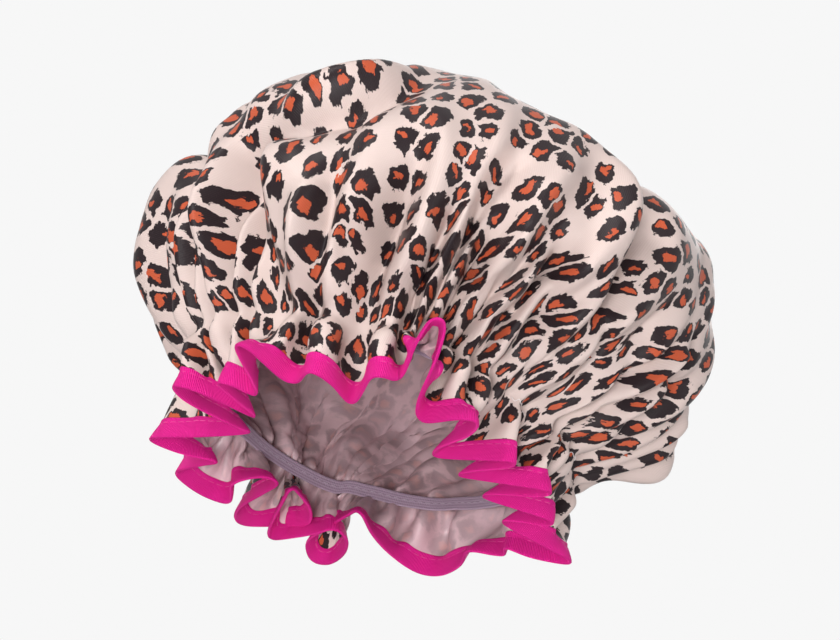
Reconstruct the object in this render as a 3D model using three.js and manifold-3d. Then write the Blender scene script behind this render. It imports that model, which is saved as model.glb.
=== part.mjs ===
// A puffed shower cap, opening down and crown up, in millimetres.
// Two round sheets, satin outside and film inside, are gathered by one elastic
// into a crown above it and a deep folded ruffle below it, and a folded tape
// binds their common edge. The front of the cap looks along -Y.
import * as THREE from 'three';
import { mergeVertices } from 'three/addons/utils/BufferGeometryUtils.js';
import Module from 'manifold-3d';

const wasm = await Module();
wasm.setup();

// Driving dimensions of the whole cap
const crownRadius = 111;
const crownRise = 128;
const neckRadius = 72;
const ruffleDrop = 26;
const ruffleFlare = 28;

// Depth of the pleats at the elastic and of the folds that run up the crown
const neckPleatDepth = 2.4;
const crownFoldDepth = 4.2;

// Sheets, from the outside in, and the clearance between pieces that touch
const satinThickness = 0.5;
const filmThickness = 0.4;
const layerGap = 0.3;

// Elastic, sewn round the inside of the film
const elasticWidth = 5;
const elasticThickness = 0.9;
const elasticEdgeRadius = 0.3;
const elasticClearance = 0.45;

// Binding tape, folded over the edge of both sheets
const bindingWidth = 8;
const bindingThickness = 0.5;
const bindingFold = 1.2;
const bindingPocket = 0.7;
const restCutDepth = 0.5;

// The ruffle's folds in turn round the cap from the front, first out, then in
const foldDegrees = [
  4, 13, 23, 33, 44, 51, 60, 70, 80, 91, 103, 124, 150, 173, 184, 191,
  197, 204, 211, 219, 231, 239, 249, 270, 292, 299, 307, 316, 324, 332, 341, 350,
];
const foldReachShares = [
  1.0, -0.2, 0.4, -0.85, 0.0, -0.9, 0.15, -0.8, 0.05, -0.55, 0.55, -0.35, 0.45, -1.0, 0.55, -0.55,
  0.2, -0.8, 0.5, -0.8, 0.55, -0.45, 0.5, -1.0, 0.3, -0.8, 0.0, -0.45, 0.6, 0.0, 0.3, -0.3,
];
const foldLiftShares = [
  0.7, 0.12, 0, 0, 0, 0, 0, 0, 0, 0, 0.03, 0, 0, 0.08, 0, 0.12,
  0, 0.06, 0, 0.06, 0, 0, 0.03, 0.12, 0, 0, 0, 0, 0.1, 0, 0, 0,
];
const foldTipShare = 0.3;

// Rows of the crown, as shares of the arc from the top down to the elastic
const crownRowShares = [0.15, 0.32, 0.47, 0.62, 0.77, 0.9];
const crownFoldShares = [0, 0.05, 0.2, 0.5, 0.9, 1];
const crownFoldInset = 0.45;

// The crown leans towards +X, by shares that fade out towards the elastic
const crownLean = 6;
const crownLeanShares = [1, 1, 1, 1, 0.65, 0.2];

// Main valleys and ridges of the puffed crown. Each has its soft width to the left and to the
// right of its line, then points of degrees from the front, degrees of latitude and depth inwards
const crownMarks = [
  [9, 12, [[-48, 8, 3], [-47, -2, 8], [-44, -17, 10], [-43, -32, 8], [-41, -45, 3]]],
  [8, 8, [[-58, 14, 0], [-54, 2, -3], [-53, -14, -4], [-52, -28, -3], [-50, -42, -1]]],
  [8, 8, [[-31, -6, -2], [-28, -18, -4], [-26, -30, -4], [-23, -44, -2]]],
  [10, 14, [[-66, -46, 2], [-62, -32, 4], [-62, -14, 6], [-64, 2, 7], [-67, 14, 8], [-75, 24, 8],
    [-92, 31, 6], [-115, 36, 2]]],
  [18, 16, [[-50, 40, 0], [-62, 30, 4], [-80, 14, 4], [-88, 2, 0]]],
  [6, 14, [[-46, -3, 4], [-37, 2, 7], [-30, 7, 7], [-20, 15, 6], [-15, 28, 5], [-12, 44, 1]]],
  [12, 6, [[-38, 12, -1], [-30, 16, -4], [-22, 24, -4], [-18, 38, 0]]],
  [6, 9, [[13, 2, 2], [9, 0, 5], [7, -10, 6], [9, -22, 5], [11, -34, 5], [13, -47, 3]]],
  [10, 10, [[24, 6, -1], [17, 2, -3], [15, -10, -3], [17, -26, -2], [20, -42, -1]]],
  [10, 6, [[16, 30, 0], [27, 22, -2], [34, 8, -3], [35, -4, -3], [35, -18, -2]]],
  [6, 12, [[38, 56, 2], [36, 44, 6], [36, 30, 7], [38, 15, 6], [40, 2, 5], [41, -16, 2]]],
  [10, 6, [[22, -2, 0], [25, -14, 4], [28, -26, 6], [32, -40, 5], [35, -48, 2]]],
  [12, 12, [[76, 16, 0], [88, 3, 5], [96, -8, 2], [104, -20, -2], [112, -32, 2], [114, -42, 2]]],
  [16, 12, [[4, 55, 1], [14, 53, 6], [27, 50, 8], [38, 47, 8], [48, 43, 7], [58, 35, 3], [68, 27, 0]]],
  [12, 12, [[-8, 56, 0], [-24, 50, 3], [-36, 47, 3], [-48, 44, 0]]],
  [8, 7, [[60, 4, 0], [57, -14, 3], [60, -30, 4], [66, -44, 2]]],
  [9, 9, [[-90, 6, 0], [-95, -12, 3], [-98, -28, 4], [-98, -46, 2]]],
  [12, 10, [[-108, 4, 0], [-110, -16, 7], [-113, -30, 9], [-114, -47, 3]]],
  [8, 10, [[-146, 30, 0], [-150, 4, 5], [-154, -20, 5], [-156, -46, 3]]],
  [12, 6, [[-172, 26, 0], [-170, 2, 4], [-172, -24, 5], [-176, -46, 3]]],
  [7, 11, [[164, 22, 0], [166, -4, 4], [162, -26, 4], [160, -47, 2]]],
  [10, 7, [[142, 28, 0], [140, 2, 5], [136, -22, 5], [134, -46, 3]]],
  [13, 13, [[-160, 44, 0], [-162, 20, -3], [-163, -6, -3], [-164, -30, -1]]],
  [13, 13, [[152, 40, 0], [152, 14, -3], [150, -10, -3], [148, -34, -1]]],
  [8, 10, [[-80, 66, 0], [-104, 54, 3], [-126, 42, 4], [-144, 38, 1]]],
  [9, 9, [[120, 62, 0], [140, 52, 3], [166, 48, 3], [-170, 46, 0]]],
  [8, 8, [[70, 62, 0], [66, 48, 3], [62, 36, 3], [62, 22, 0]]],
];
const crownMarkShare = 1.45;

const mitreLimit = 1.5;
const elasticCornerSteps = 1;

const radians = THREE.MathUtils.degToRad;
const foldCount = foldDegrees.length;
const stationCount = 2 * foldCount;

// Distances of each face from the seam face between the two sheets
const halfGap = layerGap / 2;
const satinFaces = [halfGap, halfGap + satinThickness];
const filmFaces = [-halfGap - filmThickness, -halfGap];
const bindingOuterFaces = [satinFaces[1] + layerGap, satinFaces[1] + layerGap + bindingThickness];
const bindingInnerFaces = [filmFaces[0] - layerGap, filmFaces[0] - layerGap - bindingThickness];

// A direction from the axis, as an angle from the front towards +X
const outward = (angle) => new THREE.Vector3(Math.sin(angle), -Math.cos(angle), 0);

function place(angle, radius, height) {
  return outward(angle).multiplyScalar(radius).setZ(height);
}

// Two stations at the tip of each fold: which fold it is and its own angle
function makeStations() {
  const stations = [];
  for (let fold = 0; fold < foldCount; fold += 1) {
    const here = foldDegrees[fold];
    const before = foldDegrees[(fold + foldCount - 1) % foldCount] - (fold === 0 ? 360 : 0);
    const after = foldDegrees[(fold + 1) % foldCount] + (fold === foldCount - 1 ? 360 : 0);
    const side = fold % 2 === 0 ? 1 : -1;
    stations.push({ fold, side, angle: radians(here - foldTipShare * (here - before)) });
    stations.push({ fold, side, angle: radians(here + foldTipShare * (after - here)) });
  }
  return stations;
}

const stations = makeStations();

// The crown is an ellipse from the top to the elastic, turned round the axis
const neckSwing = Math.sqrt(1 - (neckRadius / crownRadius) ** 2);
const crownHalfHeight = crownRise / (1 + neckSwing);
const crownCentre = ruffleDrop + crownRise - crownHalfHeight;
const neckTurn = Math.PI - Math.asin(neckRadius / crownRadius);

// A direction from the middle of the crown, where a ball's latitude would be
function crownDirection(degrees, latitude) {
  const rise = radians(latitude);
  return place(radians(degrees), Math.cos(rise), Math.sin(rise));
}

const markLines = crownMarks.map(([left, right, stops]) => ({
  left,
  right,
  knots: stops.map(([degrees, latitude, depth]) => ({ spot: crownDirection(degrees, latitude), depth })),
}));

// How deep the nearest place of one mark's line lies, and how that fades to its sides
function markDepth({ left, right, knots }, direction) {
  let nearest = Infinity;
  let depth = 0;
  knots.slice(1).forEach((end, index) => {
    const start = knots[index];
    const along = end.spot.clone().sub(start.spot);
    const offset = direction.clone().sub(start.spot);
    const share = THREE.MathUtils.clamp(offset.dot(along) / along.lengthSq(), 0, 1);
    const apart = offset.addScaledVector(along, -share);
    const gap = apart.length() * crownRadius;
    if (gap >= nearest) return;
    const east = new THREE.Vector3(-start.spot.y, start.spot.x, 0).normalize();
    const rightness = THREE.MathUtils.clamp(0.5 + 0.8 * apart.normalize().dot(east), 0, 1);
    const width = THREE.MathUtils.lerp(left, right, rightness);
    nearest = gap;
    depth = THREE.MathUtils.lerp(start.depth, end.depth, share) * Math.exp(-((gap / width) ** 1.6));
  });
  return depth;
}

const crownMiddle = new THREE.Vector3(0, 0, crownCentre);
const crownHalfSize = new THREE.Vector3(crownRadius, crownRadius, crownHalfHeight);

function crownRow(row) {
  const turn = neckTurn * crownRowShares[row];
  const height = crownCentre + crownHalfHeight * Math.cos(turn);
  return stations.map(({ side, angle }) => {
    const fold = (side - crownFoldInset) * crownFoldDepth * crownFoldShares[row];
    const point = place(angle, crownRadius * Math.sin(turn) + fold, height);
    point.x += crownLean * crownLeanShares[row];
    const direction = point.clone().sub(crownMiddle).divide(crownHalfSize).normalize();
    const depth = markLines.reduce((sum, line) => sum + markDepth(line, direction), 0);
    const inwards = direction.clone().divide(crownHalfSize).normalize().negate();
    return point.addScaledVector(inwards, crownMarkShare * depth);
  });
}

// The straight neck that the elastic grips, between the crown and the ruffle
const neckHalf = elasticWidth / 2 + layerGap;

function neckRow(height) {
  return stations.map(({ side, angle }) => place(angle, neckRadius + side * neckPleatDepth, height));
}

const neckTop = neckRow(ruffleDrop + neckHalf);
const neckBottom = neckRow(ruffleDrop - neckHalf);

// The edge of both sheets, a little above the lowest face of the tape
const tapeBelowEdge = bindingPocket + bindingFold;

const edgeRow = stations.map(({ fold, angle }, index) => {
  const radius = neckRadius + foldReachShares[fold] * ruffleFlare;
  const lowest = foldLiftShares[fold] * ruffleDrop - restCutDepth;
  const slope = place(angle, radius, lowest).sub(neckBottom[index]).normalize();
  return place(angle, radius, lowest - slope.z * tapeBelowEdge);
});

const bindingRow = edgeRow.map((edge, index) => {
  const slant = edge.distanceTo(neckBottom[index]);
  return edge.clone().lerp(neckBottom[index], bindingWidth / slant);
});

const rows = [...crownRowShares.map((share, row) => crownRow(row)), neckTop, neckBottom, bindingRow, edgeRow];
const apex = new THREE.Vector3(crownLean, 0, ruffleDrop + crownRise);
const lastRow = rows.length - 1;

// Mitred outward direction of every point: one step along it is one across the sheet
function quadNormal(row, index) {
  const next = (index + 1) % stationCount;
  const upper = rows[row];
  const lower = rows[row + 1];
  const down = lower[next].clone().sub(upper[index]);
  const along = upper[next].clone().sub(lower[index]);
  return down.cross(along).normalize();
}

const spreads = rows.map((points, row) => points.map((point, index) => {
  const before = (index + stationCount - 1) % stationCount;
  const faces = [];
  for (const upper of [row - 1, row]) {
    if (upper >= 0 && upper < lastRow) faces.push(quadNormal(upper, before), quadNormal(upper, index));
  }
  const spread = faces.reduce((sum, face) => sum.add(face), new THREE.Vector3()).normalize();
  const lean = Math.min(...faces.map((face) => face.dot(spread)));
  return spread.multiplyScalar(Math.min(1 / lean, mitreLimit));
}));

const edgeSlopes = edgeRow.map((edge, index) => edge.clone().sub(bindingRow[index]).normalize());

// A row of points moved off the seam face, and at the edge also past the edge
function ring(row, distance, past = 0) {
  return rows[row].map((point, index) => point.clone()
    .addScaledVector(spreads[row][index], distance)
    .addScaledVector(edgeSlopes[index], past));
}

// Faces between rings of points, collected into one closed body
class Body {
  constructor() {
    this.positions = [];
    this.triangles = [];
  }

  add(points) {
    const first = this.positions.length / 3;
    points.forEach((point) => this.positions.push(point.x, point.y, point.z));
    return points.map((point, index) => first + index);
  }

  // Between an upper and a lower ring, facing away from the axis or towards it
  band(upper, lower, facesOut) {
    upper.forEach((corner, index) => {
      const next = (index + 1) % upper.length;
      this.face(corner, lower[index], lower[next], facesOut);
      this.face(corner, lower[next], upper[next], facesOut);
    });
  }

  // From a ring to one of twice its points
  fan(upper, lower, facesOut) {
    upper.forEach((corner, index) => {
      const next = upper[(index + 1) % upper.length];
      const middle = lower[2 * index + 1];
      this.face(corner, lower[2 * index], middle, facesOut);
      this.face(corner, middle, next, facesOut);
      this.face(next, middle, lower[(2 * index + 2) % lower.length], facesOut);
    });
  }

  cap(pole, lower, facesOut) {
    lower.forEach((corner, index) => this.face(pole, corner, lower[(index + 1) % lower.length], facesOut));
  }

  face(a, b, c, facesOut) {
    this.triangles.push(...(facesOut ? [a, b, c] : [a, c, b]));
  }

  geometry() {
    const geometry = new THREE.BufferGeometry();
    geometry.setAttribute('position', new THREE.Float32BufferAttribute(this.positions, 3));
    geometry.setIndex(this.triangles);
    return geometry;
  }
}

// One round sheet, crown and ruffle in one, between two distances from the seam face
function sheet([inner, outer]) {
  const body = new Body();
  const thinned = (points, row) => points.filter((point, index) => row > 0 || index % 2 === 0);
  const outerRings = rows.map((points, row) => body.add(thinned(ring(row, outer), row)));
  const innerRings = rows.map((points, row) => body.add(thinned(ring(row, inner), row)));
  const up = new THREE.Vector3(0, 0, 1);
  const [outerPole] = body.add([apex.clone().addScaledVector(up, outer)]);
  const [innerPole] = body.add([apex.clone().addScaledVector(up, inner)]);
  body.cap(outerPole, outerRings[0], true);
  body.cap(innerPole, innerRings[0], false);
  body.fan(outerRings[0], outerRings[1], true);
  body.fan(innerRings[0], innerRings[1], false);
  for (let row = 1; row < lastRow; row += 1) {
    body.band(outerRings[row], outerRings[row + 1], true);
    body.band(innerRings[row], innerRings[row + 1], false);
  }
  body.band(outerRings[lastRow], innerRings[lastRow], true);
  return body.geometry();
}

// The tape: a leg outside the satin, a leg inside the film and the fold that joins them
function binding() {
  const body = new Body();
  const topRow = lastRow - 1;
  const [outerNear, outerFar] = bindingOuterFaces;
  const [innerNear, innerFar] = bindingInnerFaces;
  const outerTop = body.add(ring(topRow, outerFar));
  const outerSide = body.add(ring(lastRow, outerFar, bindingPocket));
  const outerLow = body.add(ring(lastRow, outerNear, tapeBelowEdge));
  const innerLow = body.add(ring(lastRow, innerNear, tapeBelowEdge));
  const innerSide = body.add(ring(lastRow, innerFar, bindingPocket));
  const innerTop = body.add(ring(topRow, innerFar));
  const innerMouth = body.add(ring(topRow, innerNear));
  const innerEdge = body.add(ring(lastRow, innerNear));
  const innerPocket = body.add(ring(lastRow, innerNear, bindingPocket));
  const middlePocket = body.add(ring(lastRow, 0, bindingPocket));
  const outerPocket = body.add(ring(lastRow, outerNear, bindingPocket));
  const outerEdge = body.add(ring(lastRow, outerNear));
  const outerMouth = body.add(ring(topRow, outerNear));
  body.band(outerTop, outerSide, true);
  body.band(outerSide, outerLow, true);
  body.band(outerLow, innerLow, true);
  body.band(innerSide, innerLow, false);
  body.band(innerTop, innerSide, false);
  body.band(innerMouth, innerTop, false);
  body.band(innerMouth, innerEdge, true);
  body.band(innerEdge, innerPocket, true);
  body.band(middlePocket, innerPocket, false);
  body.band(outerPocket, middlePocket, false);
  body.band(outerEdge, outerPocket, false);
  body.band(outerMouth, outerEdge, false);
  body.band(outerTop, outerMouth, false);
  return body.geometry();
}

// The elastic: a flat band with softened corners, turned round the axis
function elastic() {
  const outerRadius = neckRadius - neckPleatDepth + filmFaces[0] * mitreLimit - elasticClearance;
  const half = elasticWidth / 2 - elasticEdgeRadius;
  const middle = outerRadius - elasticThickness / 2;
  const reach = elasticThickness / 2 - elasticEdgeRadius;
  const profile = new THREE.Path();
  profile.absarc(middle + reach, -half, elasticEdgeRadius, -Math.PI / 2, 0);
  profile.absarc(middle + reach, half, elasticEdgeRadius, 0, Math.PI / 2);
  profile.absarc(middle - reach, half, elasticEdgeRadius, Math.PI / 2, Math.PI);
  profile.absarc(middle - reach, -half, elasticEdgeRadius, Math.PI, 1.5 * Math.PI);
  profile.closePath();
  const points = profile.getPoints(elasticCornerSteps);
  return new THREE.LatheGeometry(points, stationCount)
    .rotateX(Math.PI / 2)
    .translate(0, 0, ruffleDrop);
}

function toSolid(geometry) {
  const plain = geometry.clone();
  plain.deleteAttribute('normal');
  plain.deleteAttribute('uv');
  const merged = mergeVertices(plain);
  return new wasm.Manifold(new wasm.Mesh({
    numProp: 3,
    vertProperties: new Float32Array(merged.attributes.position.array),
    triVerts: new Uint32Array(merged.index.array),
  }));
}

function toGeometry(solid) {
  const mesh = solid.getMesh();
  const geometry = new THREE.BufferGeometry();
  geometry.setAttribute('position', new THREE.Float32BufferAttribute(mesh.vertProperties, 3));
  geometry.setIndex(new THREE.Uint32BufferAttribute(mesh.triVerts, 1));
  return geometry;
}

// The lowest folds of the tape are pressed flat where the cap stands on them
function pressedFlat(geometry) {
  const span = 2 * (crownRadius + ruffleFlare);
  const ground = new THREE.BoxGeometry(span, span, ruffleDrop).translate(0, 0, -ruffleDrop / 2);
  return toGeometry(toSolid(geometry).subtract(toSolid(ground)));
}

const satin = new THREE.MeshStandardMaterial({ color: 0xe9d5ca, roughness: 0.42, metalness: 0 });
const film = new THREE.MeshStandardMaterial({ color: 0xc9b3b6, roughness: 0.35, metalness: 0 });
const tape = new THREE.MeshStandardMaterial({ color: 0xe02a90, roughness: 0.75, metalness: 0 });
const braid = new THREE.MeshStandardMaterial({ color: 0x98889a, roughness: 0.8, metalness: 0 });

function named(name, geometry, material) {
  const mesh = new THREE.Mesh(geometry, material);
  mesh.name = name;
  return mesh;
}

const cap = new THREE.Group();
cap.add(
  named('satin_shell', sheet(satinFaces), satin),
  named('waterproof_lining', sheet(filmFaces), film),
  named('elastic_band', elastic(), braid),
  named('edge_binding', pressedFlat(binding()), tape),
);

// The origin lies under the middle of the cap's box
const box = new THREE.Box3().setFromObject(cap);
const middle = box.getCenter(new THREE.Vector3());
cap.position.set(-middle.x, -middle.y, 0);

export default cap;
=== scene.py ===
"""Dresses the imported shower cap.

The printed satin is a flat disc, gathered on an elastic and settled by a cloth simulation.
The lining, the elastic, the bound edge and the stitches then follow the settled cloth.
Lengths inside a section are in millimetres, and every piece that it leaves is in metres.
"""
import math

import bpy
import numpy as np
from mathutils import Matrix, Vector, noise
from mathutils.bvhtree import BVHTree


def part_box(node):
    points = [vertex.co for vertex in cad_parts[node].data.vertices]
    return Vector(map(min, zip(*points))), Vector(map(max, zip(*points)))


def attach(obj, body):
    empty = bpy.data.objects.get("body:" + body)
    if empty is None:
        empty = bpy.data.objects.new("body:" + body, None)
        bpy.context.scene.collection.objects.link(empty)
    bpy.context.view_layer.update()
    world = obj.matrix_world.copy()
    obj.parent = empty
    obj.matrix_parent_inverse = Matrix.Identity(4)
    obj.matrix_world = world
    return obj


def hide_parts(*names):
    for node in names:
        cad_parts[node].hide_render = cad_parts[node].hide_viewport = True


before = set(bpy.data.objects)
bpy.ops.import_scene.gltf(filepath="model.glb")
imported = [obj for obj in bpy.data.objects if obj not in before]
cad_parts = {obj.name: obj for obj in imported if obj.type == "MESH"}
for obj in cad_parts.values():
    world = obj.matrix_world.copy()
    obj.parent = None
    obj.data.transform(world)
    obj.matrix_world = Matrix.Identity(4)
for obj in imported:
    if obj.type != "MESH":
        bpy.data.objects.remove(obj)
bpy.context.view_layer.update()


# The satin cover: one disc of thin printed polyester satin, 490 mm across. It is gathered
# three to one on the elastic, 28 mm in from its edge, so the crown puffs up and the brim frills.

metres = 0.001
crown_radius = 111.0
crown_rise = 128.0
neck_radius = 72.0
ruffle_drop = 26.0
ruffle_width = 28.0
satin_thickness = 0.3
elastic_centre = (Vector(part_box("elastic_band")[0]) + Vector(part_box("elastic_band")[1])) / 2

column_count = 448
pole_columns = 28
ring_gap = 3.6
widest_column = 4.6
elastic_half_width = 2.0
ruffle_rows = 8

# The line of the elastic, which isn't quite flat or round: degrees from the front, radius, height.
neck_line = [
    (-180, 72, 24), (-172, 73, 22), (-150, 74, 25), (-120, 71, 26), (-100, 68, 26),
    (-70, 70, 25), (-40, 71, 26), (0, 72, 26), (25, 70, 25), (45, 67, 23), (60, 68, 24),
    (80, 71, 25), (110, 72, 26), (150, 73, 25),
]

# The bound edge, fold by fold round the brim: degrees from the front, radius, height.
edge_line = [
    (3, 80, 6), (3.5, 92, 15), (4.8, 101, 21), (7.6, 101, 21), (9, 90, 13), (10, 72, 3), (14, 66, 0),
    (20, 80, 0), (24, 84, 0), (27, 72, 0), (28, 52, 0), (33, 45, 0), (40, 62, 0), (43, 74, 0),
    (46, 70, 0), (48, 52, 0), (52, 44, 0), (57, 62, 0), (60, 77, 0), (64, 72, 0), (67, 54, 0),
    (72, 48, 0), (77, 62, 0), (80, 73, 0), (84, 72, 0), (88, 60, 0), (93, 56, 0), (99, 72, 0),
    (102, 86, 0), (107, 88, 1), (111, 76, 0), (113, 66, 0), (118, 70, 0), (122, 68, 0),
    (130, 63, 0), (140, 74, 0), (150, 84, 0), (157, 84, 0), (163, 71, 0), (168, 54, 0),
    (174, 40, 2), (180, 52, 4), (185, 72, 4), (188, 88, 2), (185, 100, 0), (181, 98, 0),
    (178, 82, 0), (178, 67, 0), (183, 62, 1), (188, 70, 0), (192, 81, 0), (196, 93, 0),
    (199, 87, 0), (205, 62, 1), (211, 46, 3), (204, 49, 4), (194, 59, 4), (191, 74, 4),
    (196, 89, 5), (203, 96, 2), (208, 90, 0), (212, 78, 0), (214, 60, 2), (217, 48, 3),
    (222, 54, 4), (221, 70, 3), (215, 79, 0), (220, 86, 0), (228, 87, 0), (234, 84, 0),
    (239, 68, 0), (242, 60, 0), (246, 74, 0), (249, 84, 1), (254, 81, 0), (260, 62, 1),
    (268, 44, 4), (276, 48, 2), (286, 70, 0), (292, 79, 0), (296, 72, 0), (298, 56, 0),
    (300, 48, 0), (304, 60, 0), (307, 72, 0), (311, 70, 0), (315, 61, 0), (319, 70, 1),
    (323, 89, 3), (327, 90, 2), (331, 74, 0), (335, 71, 0), (341, 81, 0), (346, 74, 0),
    (350, 62, 0), (353, 66, 0), (356, 82, 2), (359, 84, 3),
]

# Valleys and ridges of the puffed crown. Each has its soft width to the left and to the right
# of its line, then points of degrees from the front, degrees of latitude and depth inwards.
crown_marks = [
    (9, 12, [(-48, 8, 3), (-47, -2, 8), (-44, -17, 10), (-43, -32, 8), (-41, -45, 3)]),
    (5, 9, [(-37, 4, 0), (-37, -4, -3), (-35, -17, -4), (-35, -30, -3), (-33, -40, -1)]),
    (8, 8, [(-58, 14, 0), (-54, 2, -3), (-53, -14, -4), (-52, -28, -3), (-50, -42, -1)]),
    (8, 8, [(-31, -6, -2), (-28, -18, -4), (-26, -30, -4), (-23, -44, -2)]),
    (10, 14, [(-66, -46, 2), (-62, -32, 4), (-62, -14, 6), (-64, 2, 7), (-67, 14, 8), (-75, 24, 8),
              (-92, 31, 6), (-115, 36, 2)]),
    (18, 16, [(-50, 40, 0), (-62, 30, 4), (-80, 14, 4), (-88, 2, 0)]),
    (4, 14, [(-46, -3, 4), (-37, 2, 7), (-30, 7, 7), (-20, 15, 6), (-15, 28, 5), (-12, 44, 1)]),
    (12, 4, [(-38, 12, -1), (-30, 16, -4), (-22, 24, -4), (-18, 38, 0)]),
    (9, 3, [(-5, -2, 1), (-6, -14, 4), (-7, -26, 6), (-9, -36, 6), (-10, -47, 3)]),
    (4, 8, [(-6, 14, -1), (-3, 0, -3), (-3, -16, -3), (-4, -30, -2), (-6, -45, -1)]),
    (4, 9, [(13, 2, 2), (9, 0, 5), (7, -10, 6), (9, -22, 5), (11, -34, 5), (13, -47, 3)]),
    (10, 10, [(24, 6, -1), (17, 2, -3), (15, -10, -3), (17, -26, -2), (20, -42, -1)]),
    (10, 4, [(16, 30, 0), (27, 22, -2), (34, 8, -3), (35, -4, -3), (35, -18, -2)]),
    (5, 12, [(38, 56, 2), (36, 44, 6), (36, 30, 7), (38, 15, 6), (40, 2, 5), (41, -16, 2)]),
    (10, 5, [(22, -2, 0), (25, -14, 4), (28, -26, 6), (32, -40, 5), (35, -48, 2)]),
    (5, 2.5, [(47, 14, 0), (44, 6, 3), (41, -6, 4), (41, -18, 5), (45, -27, 4), (51, -38, 2)]),
    (6, 2.5, [(70, 20, 0), (67, 4, 3), (67, -10, 4), (73, -22, 5), (76, -32, 4), (86, -43, 2)]),
    (5, 4, [(57, 2, 0), (54, -14, 3), (56, -28, 4), (62, -44, 2)]),
    (12, 12, [(76, 16, 0), (88, 3, 8), (96, -8, 2), (104, -20, -5), (112, -32, 2), (114, -42, 2)]),
    (30, 28, [(4, 56, 1), (14, 55, 7), (27, 52, 9), (38, 48, 9), (48, 43, 7), (58, 35, 3), (68, 27, 0)]),
    (22, 22, [(-20, 50, 0), (-32, 48, 6), (-43, 45, 3), (-52, 41, 0)]),
    (5, 5, [(-18, -20, 0), (-18, -34, 4), (-17, -47, 3)]),
    (4, 4, [(0, -28, 0), (-1, -38, 4), (-2, -48, 3)]),
    (4, 5, [(21, -28, 0), (22, -38, 3), (25, -48, 3)]),
    (4, 4, [(-52, -8, 0), (-50, -24, 2), (-50, -40, 3)]),
    (7, 6, [(-72, 0, 0), (-74, -20, 3), (-76, -34, 4), (-79, -46, 2)]),
    (7, 7, [(-90, 6, 0), (-95, -12, 3), (-98, -28, 4), (-98, -46, 2)]),
    (12, 10, [(-108, 4, 0), (-110, -16, 7), (-113, -30, 9), (-114, -47, 3)]),
    (8, 10, [(-146, 30, 0), (-150, 4, 5), (-154, -20, 5), (-156, -46, 3)]),
    (12, 6, [(-172, 26, 0), (-170, 2, 4), (-172, -24, 5), (-176, -46, 3)]),
    (7, 11, [(164, 22, 0), (166, -4, 4), (162, -26, 4), (160, -47, 2)]),
    (10, 7, [(142, 28, 0), (140, 2, 5), (136, -22, 5), (134, -46, 3)]),
    (8, 8, [(120, 22, 0), (122, 4, 3), (124, -24, 3), (126, -47, 2)]),
    (13, 13, [(-160, 44, 0), (-162, 20, -3), (-163, -6, -3), (-164, -30, -1)]),
    (13, 13, [(152, 40, 0), (152, 14, -3), (150, -10, -3), (148, -34, -1)]),
    (8, 10, [(-80, 66, 0), (-104, 54, 3), (-126, 42, 4), (-144, 38, 1)]),
    (9, 9, [(120, 62, 0), (140, 52, 3), (166, 48, 3), (-170, 46, 0)]),
    (8, 8, [(70, 62, 0), (66, 48, 3), (62, 36, 3), (62, 22, 0)]),
]
crown_lean = 6.0

neck_swing = math.sqrt(1 - (neck_radius / crown_radius) ** 2)
crown_half_height = crown_rise / (1 + neck_swing)
crown_centre_height = ruffle_drop + crown_rise - crown_half_height
neck_turn = math.pi - math.asin(neck_radius / crown_radius)


def smooth_step(values, low, high):
    """0 up to low and 1 from high, with a smooth rise between."""
    share = np.clip((values - low) / (high - low), 0, 1)
    return share * share * (3 - 2 * share)


def wandering(count, knots, seed):
    """Smooth seeded noise from -1 to 1 round a ring of count places."""
    levels = np.random.default_rng(seed).uniform(-1, 1, knots)
    place = np.arange(count) / count * knots
    knot = place.astype(int) % knots
    share = smooth_step(place - np.floor(place), 0, 1)
    return levels[knot] * (1 - share) + levels[(knot + 1) % knots] * share


def smoothed_ring(values, reach):
    """Averages values round a ring over reach places on each side."""
    weights = np.hanning(2 * reach + 3)[1:-1]
    weights /= weights.sum()
    wrapped = np.concatenate([values[-reach:], values, values[:reach]])
    if values.ndim == 1:
        return np.convolve(wrapped, weights, "valid")
    return np.stack([np.convolve(wrapped[:, axis], weights, "valid") for axis in range(3)], 1)


def round_the_front(degrees, radius, height):
    """Points at an angle from the front, a radius and a height."""
    turn = np.radians(degrees)
    return np.stack([radius * np.sin(turn), -radius * np.cos(turn), height], -1)


def through(points, steps, closed=True):
    """A smooth curve through points, with steps points for each span."""
    points = np.asarray(points, float)
    count = len(points)
    spans = count if closed else count - 1
    share = np.linspace(0, 1, steps, endpoint=False)[:, None]
    spans_made = []
    for span in range(spans):
        picks = [span - 1, span, span + 1, span + 2]
        picks = [pick % count if closed else min(max(pick, 0), count - 1) for pick in picks]
        before, start, end, after = (points[pick] for pick in picks)
        spans_made.append(0.5 * (
            2 * start + (end - before) * share
            + (2 * before - 5 * start + 4 * end - after) * share ** 2
            + (3 * start - before - 3 * end + after) * share ** 3
        ))
    if not closed:
        spans_made.append(points[-1:])
    return np.concatenate(spans_made)


def spaced(curve, count):
    """count points at even spacing round a closed curve, and its length."""
    wrapped = np.vstack([curve, curve[:1]])
    steps = np.linalg.norm(np.diff(wrapped, axis=0), axis=1)
    travel = np.concatenate([[0], np.cumsum(steps)])
    wanted = np.arange(count) / count * travel[-1]
    return np.stack([np.interp(wanted, travel, wrapped[:, axis]) for axis in range(3)], 1), travel[-1]


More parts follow.
